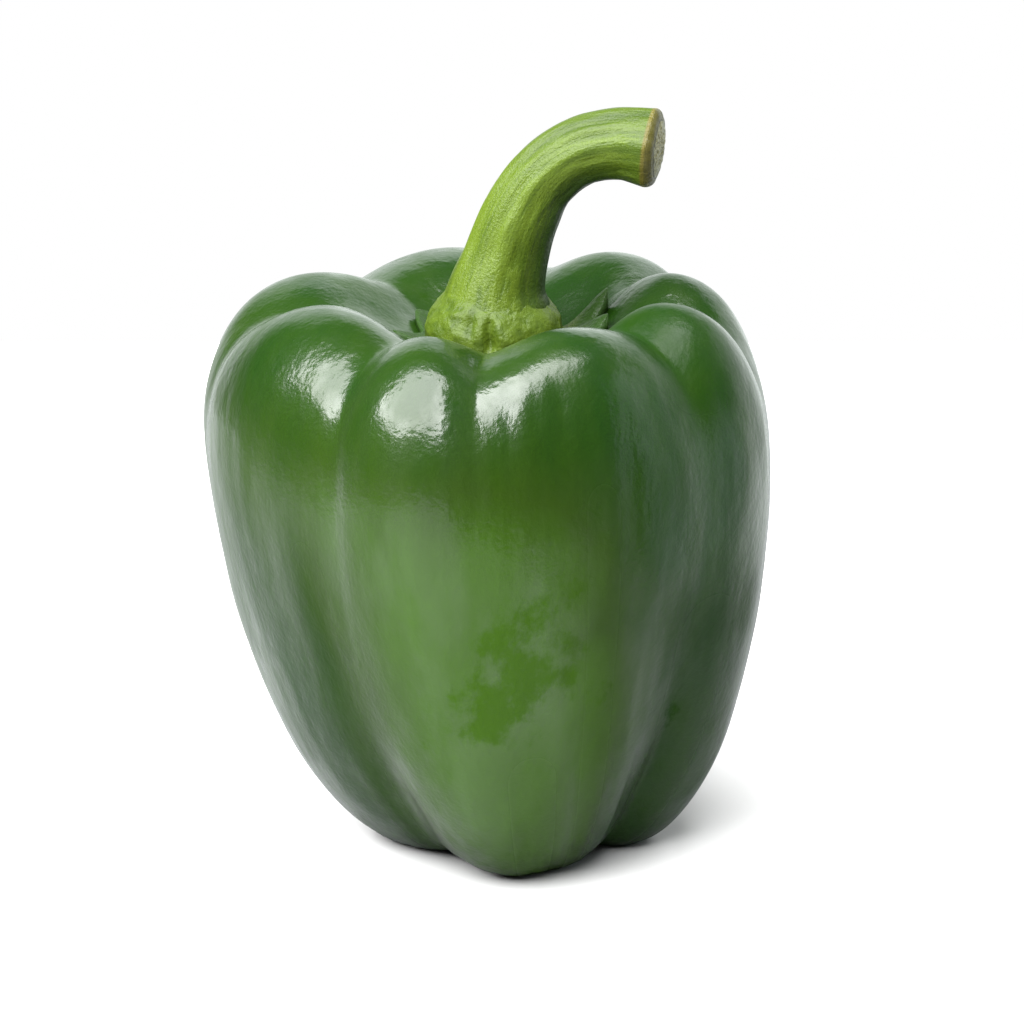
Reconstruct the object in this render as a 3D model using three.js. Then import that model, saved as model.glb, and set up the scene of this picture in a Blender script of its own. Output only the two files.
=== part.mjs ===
/*
 * Green bell pepper: a blocky four-lobed fruit standing on its feet, the calyx in the hollow of its crown,
 * and a bent stem cut off square. Millimetres, +Z up, the origin under the middle of the fruit on the
 * surface it stands on.
 *
 * An azimuth is measured in degrees around the fruit's axis: 0 is the front (-Y), 90 the right side (+X).
 */
import * as THREE from "three";

// ---------------------------------------------------------------- driving dimensions

const GAP = 0.3; // clear space left between neighbouring pieces
const FRUIT_HEIGHT = 93.5; // nominal height of the shoulders, the scale of the lean
const LEAN = 3.5; // how far the foot of the fruit's axis stands to the right of its crown
const COLUMNS_PER_HALF_LOBE = 8;
const FRUIT_ROWS = 44;

/*
 * Control rings of the skin, from the middle of the base, out over the feet, up the side, over the shoulder
 * and down to the middle of the hollow. radius and height place the crest of a lobe; mainIn and mainUp say
 * how far the furrow between two lobes lies inside and above it, sideIn and sideUp the same for the shallow
 * fold that halves each lobe, and soft how rounded the bottom of a furrow is.
 */
const RINGS = [
  { radius: 0, height: 8.5, mainIn: 0, mainUp: 0, sideIn: 0, sideUp: 0, soft: 0.3 },
  { radius: 8, height: 6.5, mainIn: 1, mainUp: 2, sideIn: 0, sideUp: 0, soft: 0.25 },
  { radius: 13, height: -2, mainIn: 2, mainUp: 3, sideIn: 0, sideUp: 0, soft: 0.15 },
  { radius: 25, height: 0, mainIn: 4.5, mainUp: 2, sideIn: 0, sideUp: 0, soft: 0.12 },
  { radius: 35, height: 12.5, mainIn: 6, mainUp: 3, sideIn: 0, sideUp: 0, soft: 0.12 },
  { radius: 40, height: 25, mainIn: 5, mainUp: 0.5, sideIn: 0, sideUp: 0, soft: 0.15 },
  { radius: 44.5, height: 41.5, mainIn: 5.5, mainUp: -2, sideIn: 0, sideUp: 0, soft: 0.2 },
  { radius: 47.5, height: 55.5, mainIn: 4, mainUp: -3.5, sideIn: 1, sideUp: 0, soft: 0.2 },
  { radius: 49, height: 75, mainIn: 3.5, mainUp: -2.5, sideIn: 1.5, sideUp: -1, soft: 0.15 },
  { radius: 42, height: 91, mainIn: 2.5, mainUp: 0, sideIn: 1.5, sideUp: -3.5, soft: 0.12 },
  { radius: 28, height: 93.5, mainIn: 1.5, mainUp: 0.5, sideIn: 1.5, sideUp: -3.5, soft: 0.12 },
  { radius: 20, height: 87, mainIn: 0, mainUp: 0, sideIn: 0, sideUp: -0.5, soft: 0.15 },
  { radius: 11, height: 81.5, mainIn: -0.5, mainUp: -0.5, sideIn: -0.5, sideUp: -0.5, soft: 0.25 },
  { radius: 0, height: 81.5, mainIn: 0, mainUp: 0, sideIn: 0, sideUp: 0, soft: 0.3 },
];

/*
 * The eight half lobes in order around the fruit. start is the azimuth of the furrow where one begins: a main
 * furrow for every even entry, the side fold for every odd one. width scales its radius, rise lifts its crest.
 */
const HALF_LOBES = [
  { start: -37, width: 1.09, rise: 0 },
  { start: -6, width: 0.9, rise: 0.5 },
  { start: 48, width: 0.92, rise: 1 },
  { start: 82, width: 0.88, rise: 1.5 },
  { start: 120, width: 1, rise: 0 },
  { start: 168, width: 1.11, rise: -1.5 },
  { start: 223, width: 1.1, rise: -1 },
  { start: 267, width: 0.99, rise: 0.5 },
];
const RISE_FROM = 55; // a crest's rise begins above this height
const RISE_SPAN = 40; // and is whole this much higher
const RISE_IN_HOLLOW = [0.6, 0.2, 0]; // its share at the last three rings
// The right-hand furrow is shallower than the others by share, near its azimuth and above the base.
const SHALLOW = { azimuth: 48, reach: 24, share: 0.55, from: 20, whole: 55 };

// The calyx: a thin cap on the floor of the hollow, its collar around the foot of the stem, and its sepals.
const CAP_REACH = 12.5; // radius of the cap between two sepals
const SEPALS = [
  { azimuth: -92, reach: 18, halfWidth: 17, lift: 0.8 },
  { azimuth: -40, reach: 15.5, halfWidth: 15, lift: 0 },
  { azimuth: 18, reach: 15, halfWidth: 15, lift: 0 },
  { azimuth: 66, reach: 15.5, halfWidth: 15, lift: 0.5 },
  { azimuth: 84, reach: 15.5, halfWidth: 10, lift: 2.4 },
  { azimuth: 113, reach: 18, halfWidth: 14, lift: 3.2 },
  { azimuth: 170, reach: 15.5, halfWidth: 16, lift: 0.5 },
  { azimuth: 226, reach: 19.5, halfWidth: 17, lift: 1.2 },
];
const CAP_EDGE = 0.9; // thickness of the cap at its rim
const CAP_TO_COLLAR = 1; // how much thicker it is where the collar begins
const COLLAR_SHIFT = -1.8; // the collar's axis lies this far from the fruit's, along X
// The collar's profile from its foot over its bulge to the seat of the stem: radius, height.
const COLLAR_FOOT = 11;
const COLLAR = [
  [11, 86.2],
  [10.6, 88],
  [9.6, 89.8],
  [8.4, 91.2],
  [7.2, 91.8],
  [4, 91.9],
];
const CAP_ROWS = 4;

// The stem's centre line and radius, from its seat in the collar over the bend to the cut.
const STEM_STATIONS = [
  { x: -1.3, y: 0, z: 92.2, radius: 7.7 },
  { x: 0.3, y: 0, z: 98, radius: 6.8 },
  { x: 2.6, y: 0, z: 104.8, radius: 6.2 },
  { x: 6.3, y: 0, z: 111.1, radius: 5.6 },
  { x: 12, y: -0.3, z: 115.5, radius: 5.5 },
  { x: 18, y: -1, z: 116.9, radius: 5.7 },
  { x: 24.6, y: -2.4, z: 116.4, radius: 6.6 },
];
const STEM_ROWS = 26;
const STEM_COLUMNS = 24;
const CUT_ROUNDING = 0.8; // the rim of the cut is this much smaller than the stem behind it
const LEVEL_SEAT = 0.15; // the sections turn from level to square over this share of the stem

// ---------------------------------------------------------------- helpers

const DEGREE = Math.PI / 180;
const TURN = 360;
const { clamp, lerp, smoothstep, smootherstep } = THREE.MathUtils;

/** The value of azimuth that lies in [from, from + 360). */
const turnedAfter = (azimuth, from) => azimuth - Math.floor((azimuth - from) / TURN) * TURN;

/** |c| with its corner at zero rounded: larger softness, wider rounding; 0 at 0 and 1 at 1. */
const softAbs = (c, softness) => (Math.hypot(c, softness) - softness) / (Math.hypot(1, softness) - softness);

/**
 * One closed surface through rings of points, with a pole at each end. Each ring has the same number of
 * points, counter-clockwise about the way the rings go, and the faces then point outwards.
 */
function loft(startPole, rings, endPole) {
  const count = rings[0].length;
  const points = [startPole, ...rings.flat(), endPole];
  const last = points.length - 1;
  const at = (ring, column) => 1 + ring * count + (column % count);
  const faces = [];
  for (let column = 0; column < count; column += 1) {
    faces.push(0, at(0, column + 1), at(0, column));
    faces.push(last, at(rings.length - 1, column), at(rings.length - 1, column + 1));
    for (let ring = 0; ring < rings.length - 1; ring += 1) {
      const a = at(ring, column);
      const b = at(ring, column + 1);
      const c = at(ring + 1, column + 1);
      const d = at(ring + 1, column);
      faces.push(a, b, c, a, c, d);
    }
  }
  const geometry = new THREE.BufferGeometry().setFromPoints(points);
  geometry.setIndex(faces);
  geometry.computeVertexNormals();
  return geometry;
}

/** A point of the fruit from its azimuth, its radius about the leaning axis, and its height. */
function aroundFruit(azimuth, radius, height) {
  const angle = azimuth * DEGREE;
  const axis = LEAN * (1 - height / FRUIT_HEIGHT);
  return new THREE.Vector3(axis + radius * Math.sin(angle), -radius * Math.cos(angle), height);
}

// ---------------------------------------------------------------- the fruit

/** How far into a furrow an azimuth lies, between the furrows at starts: 1 in one, 0 on the crest. */
function furrow(azimuth, starts, softness) {
  const turned = turnedAfter(azimuth, starts[0]);
  const bounds = [...starts, starts[0] + TURN];
  const lobe = starts.findLastIndex((start) => start <= turned);
  const across = (2 * (turned - bounds[lobe])) / (bounds[lobe + 1] - bounds[lobe]) - 1;
  return 1 - softAbs(Math.cos((across * Math.PI) / 2), softness);
}

/** A half lobe's own value at its middle, blended smoothly to the next one's. */
function acrossLobes(azimuth, key) {
  const middles = HALF_LOBES.map((lobe, index) => {
    const next = HALF_LOBES[index + 1]?.start ?? HALF_LOBES[0].start + TURN;
    return (lobe.start + next) / 2;
  });
  const turned = turnedAfter(azimuth, middles[0]);
  const index = middles.findLastIndex((middle) => middle <= turned);
  const next = (index + 1) % middles.length;
  const nextMiddle = middles[next] + (next === 0 ? TURN : 0);
  const blend = smootherstep(turned, middles[index], nextMiddle);
  return lerp(HALF_LOBES[index][key], HALF_LOBES[next][key], blend);
}

/** The share of a crest's rise that a control ring takes. */
function riseShare(index) {
  const hollow = index - (RINGS.length - RISE_IN_HOLLOW.length);
  if (hollow >= 0) return RISE_IN_HOLLOW[hollow];
  return clamp((RINGS[index].height - RISE_FROM) / RISE_SPAN, 0, 1);
}

const MAIN_FURROWS = HALF_LOBES.filter((_, index) => index % 2 === 0).map((lobe) => lobe.start);
const ALL_FURROWS = HALF_LOBES.map((lobe) => lobe.start);

/** A bell of height 1 at an azimuth, fading around it: exp(-(away / width)^2). */
function bell(azimuth, middle, width) {
  return Math.exp(-((turnedAfter(azimuth - middle, -TURN / 2) / width) ** 2));
}

/** The share of a main furrow's depth that is left at an azimuth, on a control ring of a height. */
function furrowLeft(azimuth, height) {
  const { share, reach, from, whole } = SHALLOW;
  return 1 - share * bell(azimuth, SHALLOW.azimuth, reach) * smootherstep(height, from, whole);
}

/** The control points [radius, height] of the meridian at an azimuth. */
function meridianControls(azimuth) {
  const width = acrossLobes(azimuth, "width");
  const rise = acrossLobes(azimuth, "rise");
  return RINGS.map((ring, index) => {
    const main = furrow(azimuth, MAIN_FURROWS, ring.soft) * furrowLeft(azimuth, ring.height);
    const side = furrow(azimuth, ALL_FURROWS, ring.soft);
    return [
      ring.radius * width - main * ring.mainIn - side * ring.sideIn,
      ring.height + main * ring.mainUp + side * ring.sideUp + rise * riseShare(index),
    ];
  });
}

/**
 * A meridian as a function of t, 0 at the base and RINGS.length - 1 in the hollow: the uniform cubic
 * B-spline of its control points, mirrored across the axis at both ends so that it meets the axis square.
 */
function meridian(azimuth) {
  const controls = meridianControls(azimuth);
  const last = controls.length - 1;
  const mirrored = ([radius, height]) => [-radius, height];
  const padded = [mirrored(controls[1]), ...controls, mirrored(controls[last - 1])];
  return (t) => {
    const span = clamp(Math.floor(t), 0, last - 1);
    const f = t - span;
    const weights = [(1 - f) ** 3, 3 * f ** 3 - 6 * f ** 2 + 4, -3 * f ** 3 + 3 * f ** 2 + 3 * f + 1, f ** 3];
    const sum = (part) => weights.reduce((total, w, k) => total + (w / 6) * padded[span + k][part], 0);
    return { radius: Math.max(sum(0), 0), height: Math.max(sum(1), 0) };
  };
}

/** Evenly spaced azimuths within each half lobe, so that every furrow has its own column. */
function columnAzimuths() {
  return HALF_LOBES.flatMap((lobe, index) => {
    const next = HALF_LOBES[index + 1]?.start ?? HALF_LOBES[0].start + TURN;
    return Array.from({ length: COLUMNS_PER_HALF_LOBE }, (_, k) =>
      lerp(lobe.start, next, k / COLUMNS_PER_HALF_LOBE),
    );
  });
}

const COLUMNS = columnAzimuths();
const MERIDIANS = COLUMNS.map(meridian);
const T_END = RINGS.length - 1;

/** The fruit's skin, from the middle of its base to the middle of its hollow; its feet are flat at height 0. */
function fruitGeometry() {
  const ringAt = (t) =>
    COLUMNS.map((azimuth, column) => {
      const { radius, height } = MERIDIANS[column](t);
      return aroundFruit(azimuth, radius, height);
    });
  const rings = Array.from({ length: FRUIT_ROWS - 1 }, (_, row) => ringAt(((row + 1) * T_END) / FRUIT_ROWS));
  const pole = (t) => aroundFruit(0, 0, MERIDIANS[0](t).height);
  return loft(pole(0), rings, pole(T_END));
}

// ---------------------------------------------------------------- the calyx

/** The height of the hollow's floor at a radius, on one column's meridian, found by halving. */
function hollowHeight(column, radius) {
  let outer = T_END - 3;
  let inner = T_END;
  for (let step = 0; step < 30; step += 1) {
    const middle = (outer + inner) / 2;
    if (MERIDIANS[column](middle).radius > radius) outer = middle;
    else inner = middle;
  }
  return MERIDIANS[column](inner).height;
}

/** The calyx: underside along the floor of the hollow, rim, upper face, collar and the seat of the stem. */
function calyxGeometry() {
  const sepalSum = (azimuth, part) =>
    SEPALS.reduce((sum, sepal) => sum + part(sepal) * bell(azimuth, sepal.azimuth, sepal.halfWidth), 0);
  const reach = COLUMNS.map((azimuth) => CAP_REACH + sepalSum(azimuth, (sepal) => sepal.reach - CAP_REACH));
  const lift = COLUMNS.map((azimuth) => sepalSum(azimuth, (sepal) => sepal.lift));
  const under = (share) =>
    COLUMNS.map((azimuth, column) => {
      const radius = reach[column] * share;
      return aroundFruit(azimuth, radius, hollowHeight(column, radius) + GAP * 1.5);
    });
  const upper = (share) =>
    COLUMNS.map((azimuth, column) => {
      const radius = lerp(reach[column], COLLAR_FOOT, share);
      const thickness = CAP_EDGE + CAP_TO_COLLAR * share + lift[column] * (1 - share);
      const point = aroundFruit(azimuth, radius, hollowHeight(column, radius) + GAP * 1.5 + thickness);
      point.x += COLLAR_SHIFT * share;
      return point;
    });
  const collar = COLLAR.map(([radius, height]) =>
    COLUMNS.map((azimuth) => {
      const point = aroundFruit(azimuth, radius, height);
      point.x += COLLAR_SHIFT;
      return point;
    }),
  );
  const rows = (count) => Array.from({ length: count }, (_, row) => (row + 1) / count);
  const rings = [...rows(CAP_ROWS).map(under), ...[0, ...rows(CAP_ROWS)].map(upper), ...collar];
  const bottom = aroundFruit(0, 0, hollowHeight(0, 0) + GAP * 1.5);
  const top = aroundFruit(0, 0, COLLAR[COLLAR.length - 1][1]);
  top.x += COLLAR_SHIFT;
  return loft(bottom, rings, top);
}

// ---------------------------------------------------------------- the stem

/** The stem: a level seat, then round sections square to its centre line, flared again at the cut. */
function stemGeometry() {
  const line = new THREE.CatmullRomCurve3(STEM_STATIONS.map(({ x, y, z }) => new THREE.Vector3(x, y, z)));
  const radii = new THREE.CatmullRomCurve3(
    STEM_STATIONS.map(({ radius }, index) => new THREE.Vector3(index, radius, 0)),
  );
  const side = new THREE.Vector3(0, -1, 0);
  const up = new THREE.Vector3(0, 0, 1);
  const section = (share, shrink) => {
    const centre = line.getPoint(share);
    const radius = radii.getPoint(share).y - shrink;
    const along = up.clone().lerp(line.getTangent(share), smoothstep(share, 0, LEVEL_SEAT)).normalize();
    const first = side.clone().addScaledVector(along, -side.dot(along)).normalize();
    const second = along.clone().cross(first);
    return Array.from({ length: STEM_COLUMNS }, (_, column) => {
      const angle = (column * TURN * DEGREE) / STEM_COLUMNS;
      return centre
        .clone()
        .addScaledVector(first, radius * Math.cos(angle))
        .addScaledVector(second, radius * Math.sin(angle));
    });
  };
  const rings = Array.from({ length: STEM_ROWS }, (_, row) => section(row / STEM_ROWS, 0));
  rings.push(section(1 - CUT_ROUNDING / line.getLength(), 0), section(1, CUT_ROUNDING));
  return loft(line.getPoint(0), rings, line.getPoint(1));
}

// ---------------------------------------------------------------- the whole

const FINISHES = {
  pepper_body: { color: "#3c6b1c", roughness: 0.2, metalness: 0 },
  calyx: { color: "#7f9c3e", roughness: 0.6, metalness: 0 },
  stem: { color: "#8fb043", roughness: 0.5, metalness: 0 },
};

/** A named piece with its own finish. */
function piece(name, geometry) {
  const mesh = new THREE.Mesh(geometry, new THREE.MeshStandardMaterial(FINISHES[name]));
  mesh.name = name;
  return mesh;
}

const pepper = new THREE.Group();
pepper.name = "bell_pepper";
pepper.add(piece("pepper_body", fruitGeometry()), piece("calyx", calyxGeometry()), piece("stem", stemGeometry()));

const middle = new THREE.Box3().setFromObject(pepper).getCenter(new THREE.Vector3());
pepper.position.set(-middle.x, -middle.y, 0);

export default pepper;
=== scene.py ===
"""Green bell pepper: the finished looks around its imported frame.

The fruit is one surface worked out from control rings and lobes, with the calyx draped in the hollow of its
crown and the stem swept along a bent line. Sizes are in millimetres until a mesh is made, then in metres.
An azimuth is in degrees around the fruit's axis: 0 is the front (-Y), 90 the right side (+X).
"""

import logging
from dataclasses import dataclass, field
from enum import Enum

import bpy
import numpy as np
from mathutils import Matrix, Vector

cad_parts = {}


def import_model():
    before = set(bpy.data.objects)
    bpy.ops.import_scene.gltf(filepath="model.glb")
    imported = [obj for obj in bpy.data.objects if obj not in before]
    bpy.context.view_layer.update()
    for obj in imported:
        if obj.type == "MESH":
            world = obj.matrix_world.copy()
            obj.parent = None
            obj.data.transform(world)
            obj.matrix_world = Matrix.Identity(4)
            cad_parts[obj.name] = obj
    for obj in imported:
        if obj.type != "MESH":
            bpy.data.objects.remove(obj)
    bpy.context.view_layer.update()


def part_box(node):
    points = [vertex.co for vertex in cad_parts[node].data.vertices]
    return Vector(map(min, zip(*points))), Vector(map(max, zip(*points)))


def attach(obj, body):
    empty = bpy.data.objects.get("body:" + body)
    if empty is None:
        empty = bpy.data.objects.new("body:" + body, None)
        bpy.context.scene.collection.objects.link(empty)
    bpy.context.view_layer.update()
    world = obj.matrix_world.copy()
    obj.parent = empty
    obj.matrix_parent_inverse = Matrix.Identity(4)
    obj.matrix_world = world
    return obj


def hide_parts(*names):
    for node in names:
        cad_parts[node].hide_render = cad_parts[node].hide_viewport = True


LOG = logging.getLogger("bell_pepper")
MM = 0.001
TURN = 360.0

Array = np.ndarray


class Node(Enum):
    """The CAD nodes that the pieces stand for."""

    FRUIT = "pepper_body"
    CALYX = "calyx"
    STEM = "stem"


class Slot(Enum):
    """The record's material slots."""

    SKIN = "skin"
    CALYX = "calyx"
    STEM = "stem"


# ---------------------------------------------------------------- array helpers


def smooth(x: Array, low: float, high: float) -> Array:
    """0 below low, 1 above high, and the quintic 6s^5 - 15s^4 + 10s^3 between them."""
    s = np.clip((np.asarray(x, float) - low) / (high - low), 0.0, 1.0)
    return s**3 * (s * (6.0 * s - 15.0) + 10.0)


def bump(x: Array, middle: float, width: float) -> Array:
    """A bell of height 1 at middle: exp(-((x - middle) / width)^2)."""
    return np.exp(-(((np.asarray(x, float) - middle) / width) ** 2))


def away(azimuth: Array, middle: float) -> Array:
    """The signed angle from middle to each azimuth, in [-180, 180)."""
    return (np.asarray(azimuth, float) - middle + TURN / 2) % TURN - TURN / 2


def lattice_noise(around: Array, along: Array, cells: tuple[int, int], seed: int) -> Array:
    """Smooth random heights on a surface that closes on itself around.

    Random values of a lattice are joined by the cubic 3s^2 - 2s^3 in both directions.

    Args:
        around: position around, in turns; the lattice repeats after 1.
        along: position along, 0 to 1, of a shape that broadcasts with around.
        cells: how many lattice cells there are around and along.
        seed: names the draw of random values.

    Returns:
        Heights of about -1 to 1, one for each pair of positions.
    """
    count_around, count_along = cells
    values = np.random.default_rng(seed).uniform(-1.0, 1.0, (count_around, count_along + 2))
    u, v = np.broadcast_arrays(np.mod(around, 1.0) * count_around, np.clip(along, 0.0, 1.0) * count_along)
    i, j = np.floor(u).astype(int), np.floor(v).astype(int)
    su, sv = u - i, v - j
    su, sv = su * su * (3.0 - 2.0 * su), sv * sv * (3.0 - 2.0 * sv)
    i0, i1 = i % count_around, (i + 1) % count_around
    low = values[i0, j] * (1.0 - su) + values[i1, j] * su
    high = values[i0, j + 1] * (1.0 - su) + values[i1, j + 1] * su
    return low * (1.0 - sv) + high * sv


@dataclass(frozen=True)
class Relief:
    """Random unevenness of a surface: its lattice cells around and along, height in millimetres and seed."""

    cells: tuple[int, int]
    height: float
    seed: int

    def rise(self, around: Array, along: Array) -> Array:
        """Millimetres outwards at positions given in turns around and 0 to 1 along."""
        return lattice_noise(around, along, self.cells, self.seed) * self.height


def cubic_spline(knots: Array, values: Array, at: Array) -> Array:
    """A smooth curve through values at knots: cubic Hermite spans, with slopes from the chords at a knot.

    Args:
        knots: rising parameters, one for each value.
        values: the values there, one row for each knot.
        at: the parameters wanted.

    Returns:
        One row of values for each entry of at.
    """
    knots, values, at = np.asarray(knots, float), np.asarray(values, float), np.asarray(at, float)
    slopes = np.gradient(values, knots, axis=0)
    k = np.clip(np.searchsorted(knots, at, side="right") - 1, 0, len(knots) - 2)
    h = (knots[k + 1] - knots[k]).reshape(-1, *[1] * (values.ndim - 1))
    s = (at - knots[k]).reshape(h.shape) / h
    start = (2 * s**3 - 3 * s**2 + 1) * values[k] + (s**3 - 2 * s**2 + s) * h * slopes[k]
    end = (3 * s**2 - 2 * s**3) * values[k + 1] + (s**3 - s**2) * h * slopes[k + 1]
    return start + end


def surface_normals(points: Array) -> Array:
    """Unit normals of a grid that closes around its columns: the cross product of its two differences.

    Args:
        points: points of shape (rows, columns, 3).

    Returns:
        Unit normals of the same shape.
    """
    around = np.roll(points, -1, axis=1) - np.roll(points, 1, axis=1)
    along = np.gradient(points, axis=0)
    normals = np.cross(around, along)
    return normals / np.maximum(np.linalg.norm(normals, axis=2, keepdims=True), 1e-12)


# ---------------------------------------------------------------- meshes


def closed_mesh(name: str, rings: Array, first: Array, last: Array) -> bpy.types.Object:
    """Makes one closed, smooth-shaded object from rings of points with a pole at each end.

    Args:
        name: the object's name.
        rings: points in metres, of shape (rings, columns, 3), counter-clockwise about the way the rings go.
        first: the pole before the first ring.
        last: the pole after the last ring.

    Returns:
        The object, linked to the scene, with its place in its mesh.
    """
    count, columns = rings.shape[:2]
    verts = np.concatenate([first[None], rings.reshape(-1, 3), last[None]])
    column = np.arange(columns)
    after = (column + 1) % columns
    ring = np.arange(count - 1)[:, None] * columns + 1
    quads = np.stack([ring + column, ring + after, ring + columns + after, ring + columns + column], -1)
    top = (count - 1) * columns + 1
    fan_first = np.stack([np.zeros_like(column), after + 1, column + 1], -1)
    fan_last = np.stack([np.full_like(column, len(verts) - 1), top + column, top + after], -1)
    quads = quads.reshape(-1, 4)
    mesh = bpy.data.meshes.new(name)
    mesh.vertices.add(len(verts))
    mesh.vertices.foreach_set("co", verts.astype(np.float32).ravel())
    loops = np.concatenate([fan_first.ravel(), quads.ravel(), fan_last.ravel()])
    sizes = np.concatenate([np.full(columns, 3), np.full(len(quads), 4), np.full(columns, 3)])
    mesh.loops.add(len(loops))
    mesh.loops.foreach_set("vertex_index", loops.astype(np.int32))
    mesh.polygons.add(len(sizes))
    mesh.polygons.foreach_set("loop_start", (np.cumsum(sizes) - sizes).astype(np.int32))
    mesh.polygons.foreach_set("use_smooth", np.ones(len(sizes), bool))
    mesh.update(calc_edges=True)
    mesh.validate()
    piece = bpy.data.objects.new(name, mesh)
    bpy.context.scene.collection.objects.link(piece)
    return piece


def store(piece: bpy.types.Object, name: str, values: Array) -> None:
    """Keeps one number for each vertex of a piece as a named attribute."""
    attribute = piece.data.attributes.new(name, "FLOAT", "POINT")
    attribute.data.foreach_set("value", np.asarray(values, np.float32).ravel())


def with_poles(values: Array) -> Array:
    """The values of a grid of rings in vertex order, with the poles given their own ring's mean."""
    return np.concatenate([[values[0].mean()], values.ravel(), [values[-1].mean()]])


# ---------------------------------------------------------------- shader helpers


@dataclass(frozen=True)
class Grain:
    """A noise: its scale per metre, detail, roughness, run and, where it is a relief, depth in metres.

    The run is how fast it changes lengthwise against across; below 1 it is drawn out into streaks.
    """

    scale: float
    detail: float = 2.0
    roughness: float = 0.5
    run: float = 1.0
    depth: float = 0.0


class Shader:
    """Adds and joins the nodes of one material or world."""

    def __init__(self, tree: bpy.types.NodeTree) -> None:
        """Takes over a node tree and empties it."""
        self.tree = tree
        tree.nodes.clear()

    def node(self, kind: str, **settings: object) -> bpy.types.Node:
        """A new node of a kind, with its settings.

        Args:
            kind: the node's type, after the word ShaderNode.
            settings: the node's own properties by name.

        Returns:
            The node.
        """
        made = self.tree.nodes.new("ShaderNode" + kind)
        for key, value in settings.items():
            setattr(made, key, value)
        return made

    def feed(self, socket: bpy.types.NodeSocket, value: object) -> None:
        """Gives a socket a link, or a number or colour of its own.

        Args:
            socket: the input to feed.
            value: another node's output, or the number or colour itself.
        """
        if isinstance(value, bpy.types.NodeSocket):
            self.tree.links.new(value, socket)
        else:
            socket.default_value = value

    def math(self, operation: str, a: object, b: object = 0.0, clamp: bool = False) -> bpy.types.NodeSocket:
        """One Math node.

        Args:
            operation: the node's operation.
            a: the first number or socket.
            b: the second number or socket.
            clamp: keeps the result from 0 to 1.

        Returns:
            The result's socket.
        """
        made = self.node("Math", operation=operation, use_clamp=clamp)
        self.feed(made.inputs[0], a)
        self.feed(made.inputs[1], b)
        return made.outputs[0]

    def times(self, a: object, b: object, clamp: bool = False) -> bpy.types.NodeSocket:
        """a times b."""
        return self.math("MULTIPLY", a, b, clamp)

    def plus(self, a: object, b: object, clamp: bool = False) -> bpy.types.NodeSocket:
        """a plus b."""
        return self.math("ADD", a, b, clamp)

    def less(self, a: object, b: object, clamp: bool = False) -> bpy.types.NodeSocket:
        """a less b."""
        return self.math("SUBTRACT", a, b, clamp)

    def ramp(self, value: object, low: float, high: float) -> bpy.types.NodeSocket:
        """A smooth step of value: 0 at low, 1 at high.

        Args:
            value: the number or socket that steps.
            low: where the step starts.
            high: where it ends.

        Returns:
            The step's socket.
        """
        made = self.node("MapRange", interpolation_type="SMOOTHERSTEP")
        self.feed(made.inputs["Value"], value)
        made.inputs["From Min"].default_value = low
        made.inputs["From Max"].default_value = high
        return made.outputs["Result"]

    def mix(self, factor: object, a: object, b: object) -> bpy.types.NodeSocket:
        """A colour between a, at factor 0, and b, at factor 1.

        Args:
            factor: a number or socket from 0 to 1.
            a: the first colour or socket.
            b: the second colour or socket.

        Returns:
            The colour's socket.
        """
        made = self.node("Mix", data_type="RGBA")
        self.feed(made.inputs[0], factor)
        self.feed(made.inputs[6], a)
        self.feed(made.inputs[7], b)
        return made.outputs[2]

    def noise(self, vector: bpy.types.NodeSocket, grain: Grain) -> bpy.types.NodeSocket:
        """Fractal noise of about 0 to 1, with its run along the vector's third axis.

        Args:
            vector: the place that the noise is read at.
            grain: the noise's measures.

        Returns:
            The socket with the noise's value.
        """
        if grain.run != 1.0:
            mapping = self.node("Mapping")
            self.feed(mapping.inputs["Vector"], vector)
            mapping.inputs["Scale"].default_value = (1.0, 1.0, grain.run)
            vector = mapping.outputs["Vector"]
        made = self.node("TexNoise")
        self.feed(made.inputs["Vector"], vector)
        made.inputs["Scale"].default_value = grain.scale
        made.inputs["Detail"].default_value = grain.detail
        made.inputs["Roughness"].default_value = grain.roughness
        return made.outputs["Fac"]

    def attribute(self, name: str) -> bpy.types.NodeSocket:
        """A piece's own named attribute, as a number."""
        return self.node("Attribute", attribute_name=name).outputs["Fac"]

    def bump(
        self, height: object, depth: float, before: bpy.types.NodeSocket | None = None
    ) -> bpy.types.NodeSocket:
        """A normal tilted as if the surface rose by height times depth, in metres.

        Args:
            height: the relief, about 0 to 1.
            depth: how far it rises, in metres.
            before: a normal that this one is laid over.

        Returns:
            The normal's socket.
        """
        made = self.node("Bump")
        made.inputs["Strength"].default_value = 1.0
        made.inputs["Distance"].default_value = depth
        self.feed(made.inputs["Height"], height)
        if before is not None:
            self.feed(made.inputs["Normal"], before)
        return made.outputs["Normal"]

    def principled(self, **values: object) -> bpy.types.Node:
        """The Principled shader, with values for its sockets by name, joined to the output.

        Args:
            values: numbers, colours or sockets, named as the inputs are, with _ for a space.

        Returns:
            The shader's node.
        """
        made = self.node("BsdfPrincipled")
        for name, value in values.items():
            self.feed(made.inputs[name.replace("_", " ")], value)
        output = self.node("OutputMaterial")
        self.feed(output.inputs["Surface"], made.outputs["BSDF"])
        return made


def new_material(name: str) -> tuple[bpy.types.Material, Shader]:
    """A new material with an empty node tree.

    Args:
        name: the material's name.

    Returns:
        The material and its shader helper.
    """
    material = bpy.data.materials.new(name)
    material.use_nodes = True
    return material, Shader(material.node_tree)


Colour = tuple[float, float, float, float]


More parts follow.
